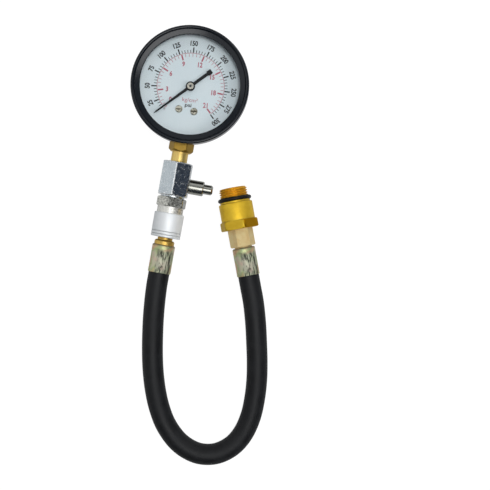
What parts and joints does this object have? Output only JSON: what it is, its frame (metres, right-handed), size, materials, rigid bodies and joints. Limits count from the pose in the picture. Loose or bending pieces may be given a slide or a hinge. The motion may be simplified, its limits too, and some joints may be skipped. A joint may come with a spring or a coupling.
{
  "type": "compression tester gauge",
  "caption": "Dial gauge for testing engine compression: round case on a stem with a release valve, a quick coupler and a short rubber hose ending in a screw-in spark plug adaptor.",
  "frame": {"origin": "where the dial's axis meets the back of the case", "axes": "+Z out of the dial, stem and coupler along -Y, release valve to +X"},
  "size_m": [0.1177, 0.2726, 0.031],
  "materials": {
    "case_paint": "satin black paint",
    "bezel_paint": "satin black paint",
    "lens_glass": "clear glass",
    "dial_paint": "matt pale enamel",
    "pointer_paint": "matt black paint",
    "hub_metal": "bright turned",
    "movement_brass": "stamped and milled",
    "tube_bronze": "drawn bronze",
    "arbor_steel": "ground",
    "spring_steel": "drawn wire",
    "stem_brass": "machined, lightly tarnished",
    "tee_nickel": "nickel plate",
    "valve_chrome": "polished plate",
    "coupler_nickel": "nickel plate",
    "sleeve_aluminium": "satin turned",
    "plug_brass": "machined",
    "ferrule_zinc": "yellow zinc plate",
    "fitting_zinc": "pale yellow zinc plate",
    "adaptor_brass": "machined",
    "hose_rubber": "matt",
    "seal_rubber": "moulded"
  },
  "bodies": {
    "gauge_head": {"case_shell": "case_paint", "bezel_ring": "bezel_paint", "lens_gasket": "seal_rubber", "lens": "lens_glass", "dial_plate": "dial_paint", "dial_spacers": "movement_brass", "dial_screws": "movement_brass", "stop_pin": "arbor_steel", "hairspring": "tube_bronze", "back_plate": "movement_brass", "front_plate": "movement_brass", "plate_pillars": "movement_brass", "movement_screws": "arbor_steel", "bourdon_tube": "tube_bronze", "tube_tip": "movement_brass", "gauge_socket": "stem_brass", "tee_body": "tee_nickel", "release_valve_body": "valve_chrome", "release_spring": "spring_steel", "coupler_body": "coupler_nickel", "sleeve_spring": "spring_steel", "sleeve_snap_ring": "spring_steel", "coupler_balls": "arbor_steel", "coupler_seal": "seal_rubber"},
    "pointer_set": {"pointer": "pointer_paint", "pointer_bush": "hub_metal", "pinion_shaft": "arbor_steel"},
    "sector": {"sector_gear": "movement_brass", "sector_arbor": "arbor_steel", "link_pin": "arbor_steel"},
    "tube_link": {"link": "movement_brass"},
    "button": {"release_button": "valve_chrome", "release_seal": "seal_rubber"},
    "sleeve": {"coupler_sleeve": "sleeve_aluminium"},
    "hose_line": {"hose_plug": "plug_brass", "plug_ferrule": "ferrule_zinc", "hose": "hose_rubber", "end_ferrule": "ferrule_zinc", "end_fitting": "fitting_zinc", "check_valve_core": "adaptor_brass", "check_valve_spring": "spring_steel", "spark_plug_adaptor": "adaptor_brass", "adaptor_seal": "seal_rubber"},
    "check_pin": {"check_valve_pin": "adaptor_brass"}
  },
  "joints": [
    {"name": "pointer_turn", "type": "hinge", "parent": "gauge_head", "child": "pointer_set", "pos_m": [0, 0, 0], "axis": [0, 0, -1], "range_deg": [0, 272], "stiffness_Nm_per_rad": 0.0001, "deforming": ["hairspring", "bourdon_tube", "tube_tip"]},
    {"name": "sector_turn", "type": "hinge", "parent": "gauge_head", "child": "sector", "pos_m": [0.01271, -0.00676, 0], "axis": [0, 0, 1], "range_deg": [0, 38.9]},
    {"name": "link_turn", "type": "hinge", "parent": "sector", "child": "tube_link", "pos_m": [0.01202, -0.01171, 0], "axis": [0, 0, -1], "range_deg": [0, 38.9]},
    {"name": "release_press", "type": "slide", "parent": "gauge_head", "child": "button", "axis": [-1, 0, 0], "range_m": [0, 0.0024], "stiffness_N_per_m": 800, "springref_m": -0.002, "deforming": ["release_spring"]},
    {"name": "sleeve_pull", "type": "slide", "parent": "gauge_head", "child": "sleeve", "axis": [0, 1, 0], "range_m": [0, 0.0036], "stiffness_N_per_m": 1500, "springref_m": -0.003, "deforming": ["sleeve_spring"]},
    {"name": "hose_swivel", "type": "hinge", "parent": "gauge_head", "child": "hose_line", "pos_m": [0, -0.0976, 0.0125], "axis": [0, -1, 0], "continuous": true},
    {"name": "check_valve_lift", "type": "slide", "parent": "hose_line", "child": "check_pin", "axis": [0.3486, -0.9373, 0], "range_m": [0, 0.0012], "stiffness_N_per_m": 100, "springref_m": -0.001, "deforming": ["check_valve_spring"]}
  ],
  "couplings": [
    {"joint": "sector_turn", "follows": "pointer_turn", "ratio": 0.14286},
    {"joint": "link_turn", "follows": "pointer_turn", "ratio": 0.14286}
  ]
}
